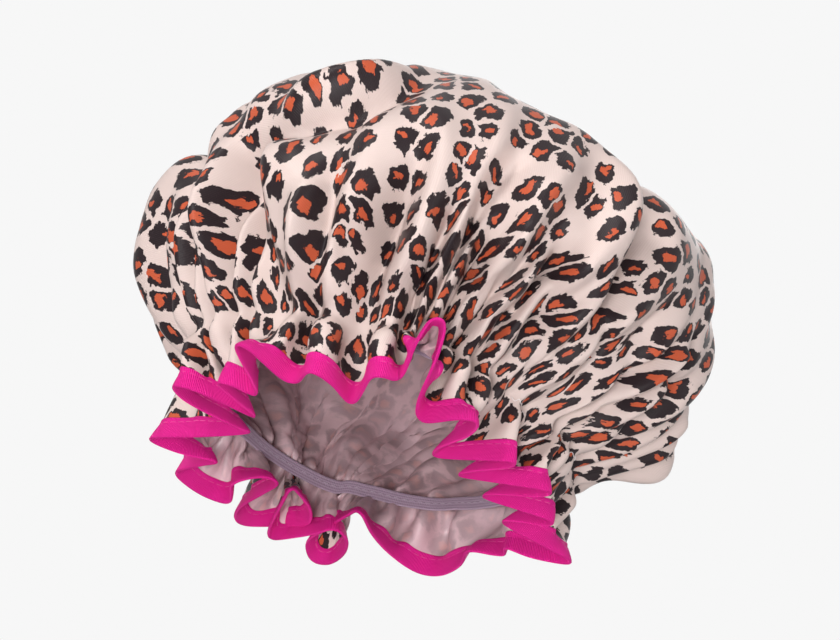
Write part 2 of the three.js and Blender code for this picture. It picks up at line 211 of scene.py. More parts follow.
def pressed_in(directions):
    """How far each direction from the crown's centre is pressed in by the crown's marks."""
    total = np.zeros(len(directions))
    for left_width, right_width, line in crown_marks:
        line = np.array(line, float)
        turn, rise = np.radians(line[:, 0]), np.radians(line[:, 1])
        knots = np.stack([
            np.sin(turn) * np.cos(rise), -np.cos(turn) * np.cos(rise), np.sin(rise), line[:, 2]
        ], 1)
        knots = through(knots, 6, closed=False)
        best = np.full(len(directions), 1e9)
        pressed = np.zeros(len(directions))
        for start, end in zip(knots[:-1], knots[1:]):
            along = end[:3] - start[:3]
            east = np.cross([0, 0, 1], start[:3])
            offset = directions - start[:3]
            share = np.clip(offset @ along / (along @ along), 0, 1)
            apart = offset - share[:, None] * along
            distance = np.linalg.norm(apart, axis=1) + 1e-9
            gap = distance * crown_radius
            rightness = np.clip(0.5 + 0.8 * apart @ east / (distance * np.linalg.norm(east)), 0, 1)
            soft = left_width + (right_width - left_width) * rightness
            depth = start[3] * (1 - share) + end[3] * share
            nearer = gap < best
            best = np.where(nearer, gap, best)
            pressed = np.where(nearer, depth * np.exp(-(gap / soft) ** 1.6), pressed)
        total += pressed
    return total


turns = np.linspace(0, neck_turn, 2000)
profile_radius = crown_radius * np.sin(turns)
profile_height = crown_centre_height + crown_half_height * np.cos(turns)
profile_arc = np.concatenate([
    [0], np.cumsum(np.hypot(np.diff(profile_radius), np.diff(profile_height)))
])
neck_arc = profile_arc[-1]

edge_curve, edge_length = spaced(
    through([round_the_front(*stop) for stop in edge_line], 24), column_count
)
neck_curve, _ = spaced(
    through([round_the_front(*stop) for stop in neck_line], 24), 4 * column_count
)

even_turn = np.arange(column_count) * 2 * math.pi / column_count
edge_turn = np.unwrap(np.arctan2(edge_curve[:, 0], -edge_curve[:, 1]))
neck_turns = even_turn + smoothed_ring(edge_turn - even_turn, 26)
neck_curve_turn = np.arctan2(neck_curve[:, 0], -neck_curve[:, 1]) % (2 * math.pi)
neck_order = np.argsort(neck_curve_turn)
neck_curve, neck_curve_turn = neck_curve[neck_order], neck_curve_turn[neck_order]
neck_curve_out = np.hypot(neck_curve[:, 0], neck_curve[:, 1])


def on_neck(turn, values):
    """Values along the line of the elastic, read off at angles round the cap."""
    return np.interp(turn % (2 * math.pi), neck_curve_turn, values, period=2 * math.pi)


neck_out = on_neck(neck_turns, neck_curve_out)
neck_up = on_neck(neck_turns, neck_curve[:, 2])

folds_round = 23
fold_phase = even_turn * folds_round
fold_phase = fold_phase + 2.2 * wandering(column_count, 17, 11) + 0.8 * wandering(column_count, 41, 12)
fold_size = 1 + 0.35 * wandering(column_count, 29, 13)
bunch_phase = 2 * fold_phase + 0.7 * wandering(column_count, 23, 15)
bunch_height = 6.2
puff_height = 3.0
pleat_height = 4.2
bunch_out = bunch_height * (0.5 + 0.5 * np.cos(bunch_phase)) * fold_size

ring_arcs = list(np.arange(1, int((neck_arc - elastic_half_width) / ring_gap) + 1) * ring_gap)
stretch = (neck_arc - elastic_half_width) / ring_arcs[-1]
ring_arcs = [arc * stretch for arc in ring_arcs] + [neck_arc + elastic_half_width]
above_elastic = len(ring_arcs) - 2
below_elastic = above_elastic + 1
for row in range(1, ruffle_rows + 1):
    ring_arcs.append(
        neck_arc + elastic_half_width + (ruffle_width - elastic_half_width) * row / ruffle_rows
    )
ring_arcs = np.array(ring_arcs)
edge_row = len(ring_arcs) - 1


def columns_at(arc):
    """How many columns a ring of the cut has, so that none is wider than the widest."""
    count = pole_columns
    while arc * 2 * math.pi / count > widest_column and count < column_count:
        count *= 2
    return count


def ring_length(turn, radius):
    """The length round a level ring with a radius for each angle."""
    ring = round_the_front(np.degrees(turn), radius, np.zeros(len(turn)))
    return np.linalg.norm(np.diff(np.vstack([ring, ring[:1]]), axis=0), axis=1).sum()


def crown_facing(points):
    """Each point's direction from the crown's centre, and the way out of the plain crown there."""
    aim = (points - [0, 0, crown_centre_height]) / [crown_radius, crown_radius, crown_half_height]
    aim /= np.linalg.norm(aim, axis=1)[:, None]
    outward = aim / [crown_radius, crown_radius, crown_half_height]
    return aim, outward / np.linalg.norm(outward, axis=1)[:, None]


# Distances along the cloth from the top of the crown: where its folds start and grow.
folds_start, folds_grown = 95, 150
gather_start = 110
doubling_start, doubling_end = 130, 195
deep_folds_start, deep_folds_end = 150, 190

most_gathered = 1.75
fold_inset = 0.35
fold_depth = 2.4
neck_fold_depth = 4.0
depth_limit = 9.0


def crown_ring(arc):
    """One ring of the crown before the cloth settles, with all the slack cloth in its folds."""
    gathered = smooth_step(arc, gather_start, neck_arc)
    turn = even_turn * (1 - gathered) + neck_turns * gathered
    radius = np.interp(arc, profile_arc, profile_radius)
    doubled = smooth_step(arc, doubling_start, doubling_end)
    wave = ((1 - doubled) * np.cos(fold_phase) + doubled * np.cos(bunch_phase)) * fold_size
    cloth = min(2 * math.pi * arc, 2 * math.pi * radius * most_gathered)
    shallow, deep = 0.0, depth_limit
    for _ in range(30):
        middle = (shallow + deep) / 2
        if ring_length(turn, radius + middle * (wave - fold_inset)) < cloth:
            shallow = middle
        else:
            deep = middle
    deepest = fold_depth + neck_fold_depth * smooth_step(arc, deep_folds_start, deep_folds_end)
    depth = min(shallow, deepest) * smooth_step(arc, folds_start, folds_grown)
    near_neck = smooth_step(arc, neck_arc - 16, neck_arc - elastic_half_width)
    radius = (radius + depth * (wave - fold_inset)) * (1 - near_neck)
    radius = radius + (neck_out + bunch_out) * near_neck
    radius = radius + puff_height * np.sin(math.pi * near_neck) * (0.5 + 0.5 * np.cos(bunch_phase))
    height = np.interp(arc, profile_arc, profile_height)
    height = height + (neck_up - ruffle_drop) * smooth_step(arc, neck_arc - 50, neck_arc)
    ring = round_the_front(np.degrees(turn), radius, height)
    ring[:, 0] += crown_lean * (1 - smooth_step(arc, neck_arc - 80, neck_arc))
    aim, outward = crown_facing(ring)
    free = 1 - smooth_step(arc, neck_arc - 26, neck_arc - 4)
    return ring - outward * (pressed_in(aim) * free)[:, None]


# Where the bound edge loops or folds deep, the pleats are lower: degrees from the front, spread.
plain_places = [(196, 26), (256, 13)]
pleat_share = np.ones(column_count)
for degrees, width in plain_places:
    pleat_share -= 0.8 * np.exp(-((np.degrees(edge_turn) % 360 - degrees) / width) ** 2)


def ruffle_ring(share):
    """One ring of the brim before it settles: pleats at the elastic that grow into its folds."""
    ring = ruffle_top * (1 - share) + edge_curve * share
    run = smoothed_ring(np.roll(ring, -1, 0) - np.roll(ring, 1, 0), 4)
    aside = np.stack([run[:, 1], -run[:, 0], np.zeros(column_count)], 1)
    aside /= np.linalg.norm(aside, axis=1)[:, None]
    swell = smooth_step(share, 0, 0.18) * (1 - smooth_step(share, 0.45, 0.8))
    lift = pleat_height * swell * (np.cos(bunch_phase) - 0.1) * fold_size * pleat_share
    return ring + aside * lift[:, None]


def relaxed_radius(arc):
    """The radius of the ring that this much cloth makes, eased where the tape gathers the edge."""
    beyond = np.clip((arc - neck_arc) / ruffle_width, 0, 1)
    taped = edge_length / (2 * math.pi)
    return arc if arc < neck_arc else neck_arc * (1 - beyond) + taped * beyond


drape = [np.array([crown_lean, 0, ruffle_drop + crown_rise])]
cut_places = [np.zeros(3)]
cut_map = [np.zeros(2)]
ring_starts = []
ring_columns = [columns_at(arc) for arc in ring_arcs]
held_points = []
puffed_points = [0]
for row, (arc, columns) in enumerate(zip(ring_arcs, ring_columns)):
    ring_starts.append(len(drape))
    picks = np.arange(columns) * (column_count // columns)
    if row <= above_elastic:
        ring = crown_ring(arc)
    elif row == below_elastic:
        ring = round_the_front(np.degrees(neck_turns), neck_out + bunch_out, neck_up - 2)
        ruffle_top = ring
    else:
        ring = ruffle_ring((arc - neck_arc - elastic_half_width) / (ruffle_width - elastic_half_width))
    relaxed = relaxed_radius(arc)
    for pick in picks:
        if row in (above_elastic, below_elastic, edge_row):
            held_points.append(len(drape))
        if row < above_elastic:
            puffed_points.append(len(drape))
        drape.append(ring[pick])
        spoke = np.array([math.sin(even_turn[pick]), -math.cos(even_turn[pick])])
        cut_places.append(np.array([*(relaxed * spoke), -max(0, arc - neck_arc)]))
        cut_map.append(arc * spoke)
drape, cut_places, cut_map = np.array(drape), np.array(cut_places), np.array(cut_map)

cloth_faces = [
    (0, ring_starts[0] + column, ring_starts[0] + (column + 1) % pole_columns)
    for column in range(pole_columns)
]
for row in range(edge_row):
    upper, lower = ring_starts[row], ring_starts[row + 1]
    columns, below = ring_columns[row], ring_columns[row + 1]
    for column in range(columns):
        after = (column + 1) % columns
        if columns == below:
            cloth_faces.append((upper + column, lower + column, lower + after, upper + after))
        else:
            left, middle = lower + 2 * column, lower + 2 * column + 1
            right = lower + (2 * column + 2) % below
            cloth_faces.append((upper + column, left, middle))
            cloth_faces.append((upper + column, middle, upper + after))
            cloth_faces.append((upper + after, middle, right))


crown_hold = 0.35
settling_frames = 46
satin_behaviour = {
    "quality": 6, "mass": 0.15,
    "tension_stiffness": 25, "compression_stiffness": 25, "shear_stiffness": 5,
    "bending_stiffness": 0.08, "tension_damping": 8, "compression_damping": 8,
    "shear_damping": 5, "bending_damping": 0.5, "air_damping": 3, "pin_stiffness": 1,
    "vertex_group_mass": "held", "vertex_group_pressure": "puffed", "use_pressure": True,
    "uniform_pressure_force": 0.8,
}
satin_contact = {
    "use_collision": False, "use_self_collision": True, "self_distance_min": 0.007,
    "self_friction": 2, "collision_quality": 2,
}


def settled(places):
    """Lets the gathered cloth settle, at ten times its size, and gives back its points."""
    tenfold = 0.01
    shell = bpy.data.meshes.new("gathered_cloth")
    shell.from_pydata((places * tenfold).tolist(), [], cloth_faces)
    cloth = bpy.data.objects.new("gathered_cloth", shell)
    bpy.context.collection.objects.link(cloth)
    cloth.shape_key_add(name="gathered")
    cut = cloth.shape_key_add(name="cut")
    cut.data.foreach_set("co", (cut_places * tenfold).ravel())
    held = cloth.vertex_groups.new(name="held")
    held.add(puffed_points, crown_hold, "REPLACE")
    held.add(held_points, 1, "REPLACE")
    puffed = cloth.vertex_groups.new(name="puffed")
    puffed.add(puffed_points, 1, "REPLACE")
    settling = cloth.modifiers.new("settling", "CLOTH")
    for setting, value in satin_behaviour.items():
        setattr(settling.settings, setting, value)
    settling.settings.rest_shape_key = cloth.data.shape_keys.key_blocks["cut"]
    settling.settings.effector_weights.gravity = 0
    for setting, value in satin_contact.items():
        setattr(settling.collision_settings, setting, value)
    settling.point_cache.frame_start = 1
    settling.point_cache.frame_end = settling_frames + 5
    for moment in range(1, settling_frames + 1):
        bpy.context.scene.frame_set(moment)
    rested = cloth.evaluated_get(bpy.context.evaluated_depsgraph_get())
    found = np.empty(len(places) * 3)
    rested.data.vertices.foreach_get("co", found)
    bpy.data.objects.remove(cloth)
    bpy.context.scene.frame_set(1)
    return found.reshape(-1, 3) / tenfold


cloth_points = settled(drape)


def cloth_ring(points, row):
    """The points of one ring of the sheet, as a part of the whole that can be changed."""
    return points[ring_starts[row]:ring_starts[row] + ring_columns[row]]


def deepened(points, share, most):
    """Sharpens the folds that run from the crown to the elastic, ring by ring."""
    points = points.copy()
    for row in range(above_elastic):
        ring = cloth_ring(points, row)
        reach = max(2, ring_columns[row] // 40)
        extra = (ring - smoothed_ring(ring, reach)) * share
        extra *= smooth_step(ring_arcs[row], 60, 120) * (
            1 - smooth_step(ring_arcs[row], neck_arc - 12, neck_arc)
        )
        size = np.linalg.norm(extra, axis=1)[:, None] + 1e-9
        ring += extra * np.minimum(1, most / size)
    return points


def marked(points, share):
    """Presses the crown's marks into the settled cloth, clear of the elastic and the brim."""
    points = points.copy()
    for row in range(above_elastic):
        ring = cloth_ring(points, row)
        aim, outward = crown_facing(ring)
        free = 1 - smooth_step(ring_arcs[row], neck_arc - 22, neck_arc - 2)
        ring -= outward * (pressed_in(aim) * free * share)[:, None]
    return points


def cloth_facing(points, row):
    """The outward side of the cloth at each point of a ring."""
    ring = cloth_ring(points, row)
    along = np.roll(ring, -1, 0) - np.roll(ring, 1, 0)
    beside = cloth_ring(points, row - 1 if row else 1)
    nearest = np.arange(len(ring)) * len(beside) // len(ring)
    up = (beside[nearest] - ring) * (1 if row else -1)
    facing = np.cross(along, up)
    return facing / (np.linalg.norm(facing, axis=1)[:, None] + 1e-9)


def puckered(points):
    """Raises narrow creases that fan out from the elastic, some short and some long."""
    creased = points.copy()
    for knots, seed, height, length in pucker_kinds:
        swell = 0.9 + 0.5 * wandering(column_count, knots // 5, seed + 1)
        ridges = np.maximum(0, 1 - 2.2 * np.abs(wandering(column_count, knots, seed))) ** 1.4
        for row in range(len(ring_arcs)):
            past = ring_arcs[row] - neck_arc
            if past > tape_top:
                continue
            if past < 0:
                fading = np.exp(past / (length * swell))
            else:
                fading = np.exp(-past / ruffle_pucker_length)
            column = np.arange(ring_columns[row]) * (column_count // ring_columns[row])
            rise = (height * ridges * swell * fading)[column]
            rise *= smooth_step(abs(past), elastic_half_width, 6)
            ring = cloth_ring(creased, row)
            ring += cloth_facing(points, row) * rise[:, None]
    return creased


fold_share = 0.4
fold_most = 2.0
mark_share = 0.8
tape_top = ruffle_width - 8
ruffle_pucker_length = 7
# Each kind of crease: how many round the cap, its seed, its height and its length.
pucker_kinds = [(84, 31, 1.0, 12), (56, 37, 1.6, 28)]
cloth_points = marked(deepened(cloth_points, fold_share, fold_most), mark_share)
cloth_points = puckered(cloth_points)

elastic_shift = np.array([elastic_centre.x, elastic_centre.y, 0]) / metres


def piece_from(name, points, faces):
    """A smooth-shaded piece in metres, from points in millimetres."""
    shape = bpy.data.meshes.new(name)
    shape.from_pydata(((np.asarray(points) + elastic_shift) * metres).tolist(), [], faces)
    shape.polygons.foreach_set("use_smooth", [True] * len(shape.polygons))
    piece = bpy.data.objects.new(name, shape)
    bpy.context.collection.objects.link(piece)
    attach(piece, "root")
    return piece


def map_cloth(piece, places, name="cut"):
    """Lays each point's place in the flat cut, in millimetres, on the piece as a map."""
    layer = piece.data.uv_layers.new(name=name)
    corners = np.empty(len(piece.data.loops), int)
    piece.data.loops.foreach_get("vertex_index", corners)
    layer.data.foreach_set("uv", (places[corners] * metres).ravel())


def rounded_sheet(piece, thickness):
    """Rounds a sheet's mesh, then gives it its thickness."""
    smoothing = piece.modifiers.new("rounding", "SUBSURF")
    smoothing.levels = 1
    smoothing.render_levels = 1
    skin = piece.modifiers.new("skin", "SOLIDIFY")
    skin.thickness = thickness * metres
    skin.offset = 0


satin = piece_from("satin_cover", cloth_points, cloth_faces)
map_cloth(satin, cut_map)
rounded_sheet(satin, satin_thickness)


class Shade:
    """A value that varies over a surface: sums and products of it add their Math nodes."""

    def __init__(self, finish, socket):
        self.finish = finish
        self.socket = socket

    def maths(self, operation, *others):
        values = dict(enumerate((self,) + others))
        return self.finish.node("Math", {"operation": operation}, values)("Value")

    def __add__(self, other):
        return self.maths("ADD", other)

    def __sub__(self, other):
        return self.maths("SUBTRACT", other)

    def __mul__(self, other):
        return self.maths("MULTIPLY", other)

    def __rsub__(self, other):
        return (self * -1) + other

    __radd__ = __add__
    __rmul__ = __mul__

    def clear_of(self, low, high):
        """0 up to low and 1 from high, with a smooth rise between."""
        settings = {"interpolation_type": "SMOOTHSTEP"}
        values = {"Value": self, "From Min": low, "From Max": high}
        return self.finish.node("MapRange", settings, values)("Result")


class Finish:
    """A piece's material, grown node by node round its Principled shader."""

    def __init__(self, name, piece, **constants):
        material = bpy.data.materials.new(name)
        material.use_nodes = True
        self.nodes = material.node_tree.nodes
        self.links = material.node_tree.links
        self.shader = self.nodes["Principled BSDF"]
        self.surface(**constants)
        piece.data.materials.append(material)

    def feed(self, socket, value):
        """Links a varying value to a socket, or sets a constant on it."""
        if isinstance(value, Shade):
            self.links.new(value.socket, socket)
        else:
            socket.default_value = value

    def node(self, kind, settings, values):
        """Adds a node, and gives back a function from an output's name to its Shade."""
        made = self.nodes.new("ShaderNode" + kind)
        for setting, value in settings.items():
            setattr(made, setting, value)
        for socket, value in values.items():
            self.feed(made.inputs[socket], value)
        return lambda output: Shade(self, made.outputs[output])

    def surface(self, **values):
        """Feeds the Principled shader's sockets, named with underscores."""
        for socket, value in values.items():
            self.feed(self.shader.inputs[socket.replace("_", " ")], value)

    def blended(self, share, under, over):
        """A colour that goes from under to over with share."""
        return self.node("Mix", {"data_type": "RGBA"}, {0: share, 6: under, 7: over})(2)

    def grain(self, place, scale, detail=2.0, roughness=0.5, colour=False, **settings):
        """Noise over a place, as a number or as a colour."""
        made = self.node(
            "TexNoise", settings,
            {"Vector": place, "Scale": scale, "Detail": detail, "Roughness": roughness},
        )
        return made("Color" if colour else "Fac")

    def vector(self, operation, values):
        """A sum, a difference or a scaled copy of vectors."""
        return self.node("VectorMath", {"operation": operation}, values)("Vector")

    def moved(self, place, drift, amount):
        """place, shifted by a noise colour about its middle, by up to half of amount."""
        centred = self.vector("SUBTRACT", {0: drift, 1: (0.5, 0.5, 0.5)})
        sized = self.vector("SCALE", {0: centred, 3: amount})
        return self.vector("ADD", {0: place, 1: sized})

    def raised(self, height, distance, strength):
        """A normal that follows a height."""
        values = {"Height": height, "Distance": distance, "Strength": strength}
        return self.node("Bump", {}, values)("Normal")

    def mapped(self, name):
        """The place on a piece's map, in millimetres."""
        place = self.node("UVMap", {"uv_map": name}, {})("UV")
        return self.vector("SCALE", {0: place, 3: 1 / metres})

    def mapped_parts(self, name):
        """The two coordinates on a piece's map, in millimetres, and the place in metres."""
        place = self.node("UVMap", {"uv_map": name}, {})("UV")
        parts = self.node("SeparateXYZ", {}, {"Vector": place})
        return parts("X") * (1 / metres), parts("Y") * (1 / metres), place


spot_pitch = 12.4
spot_spread = 0.62
spot_wobble = 5.0
spot_jag = 3.0
spot_black = (0.010, 0.005, 0.008, 1)
spot_orange = (0.50, 0.085, 0.032, 1)


def leopard_print(finish, place, blur):
    """Leopard spots in the cut's own millimetres: how black, and how orange, each place is."""
    wobble = finish.grain(place, 0.16, 1.0, colour=True, noise_dimensions="2D")
    jagged = finish.grain(place, 0.55, 3.0, 0.6, colour=True, noise_dimensions="2D")
    bent = finish.moved(finish.moved(place, wobble, spot_wobble), jagged, spot_jag)
    cells = finish.node(
        "TexVoronoi", {"voronoi_dimensions": "2D", "feature": "F1"},
        {"Vector": bent, "Scale": 1 / spot_pitch, "Randomness": spot_spread},
    )
    rims = finish.node(
        "TexVoronoi", {"voronoi_dimensions": "2D", "feature": "DISTANCE_TO_EDGE"},
        {"Vector": bent, "Scale": 1 / spot_pitch, "Randomness": spot_spread},
    )
    to_rim = rims("Distance") * spot_pitch
    chance = finish.node("SeparateColor", {}, {"Color": cells("Color")})
    middle = finish.vector("SUBTRACT", {0: bent, 1: cells("Position")})
    turned = finish.node(
        "VectorRotate", {"rotation_type": "Z_AXIS"}, {"Vector": middle, "Angle": chance("Red") * 6.283}
    )("Vector")
    parts = finish.node("SeparateXYZ", {}, {"Vector": turned})
    across, along = parts("X"), parts("Y")
    wide = across * (0.82 + chance("Green") * 0.4)
    reach = (wide * wide + along * along).maths("SQRT")
    size = 4.25 + chance("Blue") * 2.1
    inside = (size - reach).maths("SMOOTH_MIN", to_rim - 1.0, 1.2)
    spot = inside.clear_of(-blur, blur)
    heart_along = along - size * (0.12 + chance("Green") * 0.3)
    heart_across = wide * 1.25
    heart_reach = (heart_across * heart_across + heart_along * heart_along * 0.75).maths("SQRT")
    heart = (size * 0.38 - heart_reach).maths("MINIMUM", inside + 0.1)
    orange = heart.clear_of(-blur, blur)
    return spot, orange


twill_pitch = 0.62
ground_low, ground_high = (0.61, 0.48, 0.443, 1), (0.655, 0.522, 0.485, 1)
# Paler colours that the twill lines are mixed towards, on the ground and on the spots: a painted sheen
# of the weave.
twill_painted_sheen = (0.98, 0.90, 0.86, 1)
spots_painted_sheen = (1.0, 0.6, 0.6, 1)
finish = Finish("printed_satin", satin, Roughness=0.36, Specular_IOR_Level=0.16)
place = finish.mapped("cut")
spot, orange = leopard_print(finish, place, 0.12)
parts = finish.node("SeparateXYZ", {}, {"Vector": place})
twill = ((parts("X") * 0.82 + parts("Y") * 0.57) * (2 * math.pi / twill_pitch)).maths("SINE")
mottle = finish.grain(place, 0.05, 3.0, noise_dimensions="2D")
ground = finish.blended(mottle, ground_low, ground_high)
# Along the twill lines the ground and the spots are mixed towards paler colours: painted sheen, beside
# the bump that the same lines give.
ground = finish.blended(twill * 0.06 + 0.06, ground, twill_painted_sheen)
dyed = finish.blended(orange, spot_black, spot_orange)
dyed = finish.blended(twill * 0.004 + 0.004, dyed, spots_painted_sheen)
coloured = finish.blended(spot * 0.985, ground, dyed)
weave = finish.raised(twill, 0.00004, 0.6)
finish.surface(Base_Color=coloured, Normal=weave)

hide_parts("satin_shell")


# The lining: a second disc of the same cut, in thin milky waterproof film. It lies loose
# inside the satin, is caught by the same elastic seam, and goes into the same edge binding.

film_thickness = 0.12
film_gap = 0.34
film_ease = 0.3
film_hang = 0.7
film_slack = 0.5
film_clear_below = 6
billow_most = 2.4
taut_start, taut_end = neck_arc - 70, neck_arc - 18
film_white, spot_white = (0.69, 0.49, 0.53, 1), (0.66, 0.45, 0.47, 1)
spot_grey, spot_rust = (0.14, 0.085, 0.09, 1), (0.48, 0.19, 0.14, 1)

shape = satin.data
outward = np.empty(len(shape.vertices) * 3)
shape.vertex_normals.foreach_get("vector", outward)
outward = outward.reshape(-1, 3)
if outward[0][2] < 0:
    outward = -outward

billow = np.zeros(len(cloth_points))
for index, (x, y) in enumerate(cut_map):
    arc = math.hypot(x, y)
    loose = min(1, max(0, (neck_arc - film_clear_below - arc) / 40))
    soft = noise.noise(Vector((x * 0.035, y * 0.035, 3.0)))
    crease = 1 - abs(noise.noise(Vector((x * 0.03, y * 0.03, 9.0)))) * 5
    billow[index] = loose * (film_slack + billow_most * (0.5 + 0.5 * soft + 0.3 * max(0, crease) ** 2))
arcs = np.hypot(cut_map[:, 0], cut_map[:, 1])
eased = 1 - smooth_step(arcs, neck_arc + 14, neck_arc + 19)
hanging = smooth_step(neck_arc - arcs, 4, 9) * (1 - smooth_step(neck_arc - arcs, 30, 50))
film_depth = film_gap + film_ease * eased + film_hang * hanging + billow
film_points = cloth_points - outward * film_depth[:, None]
for row in range(above_elastic):
    taut = 1 - smooth_step(ring_arcs[row], taut_start, taut_end)
    ring = cloth_ring(film_points, row)
    reach = max(2, ring_columns[row] // 26)
    even = smoothed_ring(ring, reach)
    spokes = cloth_ring(outward, row)
    dips = np.maximum(0, ((even - ring) * spokes).sum(1))
    widest = np.max([np.roll(dips, shift) for shift in range(-reach // 2, reach // 2 + 1)], 0)
    pulled = even - spokes * smoothed_ring(widest, reach // 2 + 1)[:, None]
    ring += (pulled - ring) * taut

# Where the satin lies in folds, the film is kept clear of the innermost of its layers.
crown_middle = Vector((0, 0, crown_centre_height))
satin_layers = BVHTree.FromPolygons([Vector(place) for place in cloth_points], cloth_faces)
for row in range(above_elastic):
    ring = cloth_ring(film_points, row)
    spokes = ring - crown_middle
    away = np.linalg.norm(spokes, axis=1)
    spokes /= away[:, None]
    room = np.array([satin_layers.ray_cast(crown_middle, Vector(spoke))[3] for spoke in spokes])
    least = np.min([np.roll(room, shift) for shift in (-1, 0, 1)], 0)
    ring -= spokes * np.maximum(0, away - least + film_gap)[:, None]

lining = piece_from("film_lining", film_points, cloth_faces)
map_cloth(lining, cut_map)
rounded_sheet(lining, film_thickness)

finish = Finish("milky_film", lining, Roughness=0.34, Specular_IOR_Level=0.45)
place = finish.mapped("cut")
spot, orange = leopard_print(finish, place, 1.3)
dyed = finish.blended(orange, spot_grey, spot_rust)
seen_through = finish.blended(spot * 0.8, spot_white, dyed)
contact = finish.grain(place, 0.03, 2.0, noise_dimensions="2D").clear_of(0.36, 0.62)
milky = finish.blended(0.25 + contact * 0.35, film_white, seen_through)
crinkle = finish.grain(place, 0.09, 3.0, 0.5, noise_dimensions="2D")
finish.surface(Base_Color=milky, Normal=finish.raised(crinkle, 0.001, 0.3))

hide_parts("waterproof_lining")


# The elastic: a narrow ribbed lavender-grey band, sewn round the inside of the lining at its
# relaxed length. The cloth is gathered on it, so it hides the pleats' inner tips.

elastic_width = 5.4
elastic_thickness = 1.0
elastic_columns = 288
elastic_inset = 2.3
groove_depth = 0.16
corner_drop = 0.12
elastic_run = 440.0
rib_count = 5
pick_pitch = 0.7
rib_lilac, groove_lilac = (0.26, 0.17, 0.24, 1), (0.36, 0.255, 0.34, 1)
# A paler lilac that the band is mixed towards along its picks: a painted sheen.
pick_painted_sheen = (0.46, 0.36, 0.45, 1)

band_turn = np.arange(elastic_columns) * 2 * math.pi / elastic_columns
band_out = on_neck(band_turn, neck_curve_out)
band_up = on_neck(band_turn, neck_curve[:, 2]) - 1
band_out = band_out - elastic_inset + 0.35 * wandering(elastic_columns, 61, 21)
band_up = band_up + 0.5 * wandering(elastic_columns, 37, 22)
band_section = []
for step in range(4 * rib_count + 1):
    share = step / (4 * rib_count)
    groove = groove_depth * (0.5 - 0.5 * math.cos(2 * math.pi * rib_count * share))
    band_section.append((-elastic_thickness + groove_depth - groove, (share - 0.5) * elastic_width))
band_section += [(-0.35, 0.5 * elastic_width + corner_drop), (0.0, 0.5 * elastic_width), (0.0, 0.0)]
band_section += [(0.0, -0.5 * elastic_width), (-0.35, -0.5 * elastic_width - corner_drop)]
tilt = 0.16 * wandering(elastic_columns, 19, 23)
band_points = []
band_map = []
for column in range(elastic_columns):
    for out, up in band_section:
        leaned = out + up * tilt[column]
        band_points.append(round_the_front(
            math.degrees(band_turn[column]), band_out[column] + leaned, band_up[column] + up
        ))
        band_map.append((column / elastic_columns * elastic_run, up))


def looped_faces(columns, section):
    """The faces of a closed section carried round a closed loop."""
    faces = []
    for column in range(columns):
        here, after = column * section, (column + 1) % columns * section
        for corner in range(section):
            beside = (corner + 1) % section
            faces.append((here + corner, here + beside, after + beside, after + corner))
    return faces


elastic = piece_from("elastic_ribbon", band_points, looped_faces(elastic_columns, len(band_section)))
map_cloth(elastic, np.array(band_map), "run")

finish = Finish("ribbed_elastic", elastic, Roughness=0.62, Sheen_Weight=0.2)
along, across, _ = finish.mapped_parts("run")
ribs = (across * (2 * math.pi * rib_count / elastic_width)).maths("COSINE")
picks = (along * (2 * math.pi / pick_pitch)).maths("SINE")
coloured = finish.blended(ribs * 0.5 + 0.5, groove_lilac, rib_lilac)
# Along the picks the band is mixed towards the paler lilac: painted sheen, beside the bump of the same
# picks.
coloured = finish.blended(picks * 0.1 + 0.1, coloured, pick_painted_sheen)
finish.surface(Base_Color=coloured, Normal=finish.raised(picks, 0.0001, 0.5))

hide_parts("elastic_band")


# The edge binding: hot pink cross-ribbed tape, folded lengthwise over the raw edge of the
# satin and the film, and topstitched through all the layers about 2 mm from its border.

tape_width = 8.0
stitch_inset = 1.9
rib_pitch = 0.66
thread_pitch = 0.5
faded_pink, fresh_pink = (0.93, 0.008, 0.29, 1), (1.0, 0.016, 0.36, 1)
# A paler pink for the ribs' crests, a painted highlight, and a deeper pink for the valleys between them,
# painted shade.
rib_painted_highlight, valley_painted_shade = (1.0, 0.08, 0.5, 1), (0.7, 0.0, 0.16, 1)
# The pink of a faint glow from the tape itself: painted light.
painted_glow_pink = (1.0, 0.02, 0.35, 1)


def finer(rows):
    """Doubles the columns as the satin's rounding does, so that the tape lies true on it."""
    kept = rows * 0.75 + (np.roll(rows, 1, 0) + np.roll(rows, -1, 0)) * 0.125
    between = (rows + np.roll(rows, -1, 0)) * 0.5
    fine = np.stack([kept, between], 1).reshape(-1, *rows.shape[1:])
    fine[:, 1:-1] = fine[:, 1:-1] * 0.75 + (fine[:, 2:] + fine[:, :-2]) * 0.125
    return fine


def edge_strip(points):
    """The ruffle's rows of points, from its edge up, column by column."""
    rows = range(edge_row, below_elastic - 1, -1)
    return finer(np.stack([cloth_ring(points, row) for row in rows], 1))


tape_columns = column_count * 2
edge_rows = edge_strip(cloth_points)
edge_outward = edge_strip(outward)
row_steps = np.linalg.norm(np.diff(edge_rows, axis=1), axis=2)
row_travel = np.concatenate([np.zeros((tape_columns, 1)), np.cumsum(row_steps, 1)], 1)


def off_the_edge(inset, lift):
    """A ring of points at a distance in from the cloth's edge, lifted off its outer face."""
    found = np.empty((tape_columns, 3))
    for column in range(tape_columns):
        travel, rows, faces_out = row_travel[column], edge_rows[column], edge_outward[column]
        if inset < 0:
            down = rows[0] - rows[1]
            point = rows[0] - down / np.linalg.norm(down) * inset
            out = faces_out[0]
        else:
            point = np.array([np.interp(inset, travel, rows[:, axis]) for axis in range(3)])
            out = np.array([np.interp(inset, travel, faces_out[:, axis]) for axis in range(3)])
        found[column] = point + out / np.linalg.norm(out) * lift
    return found


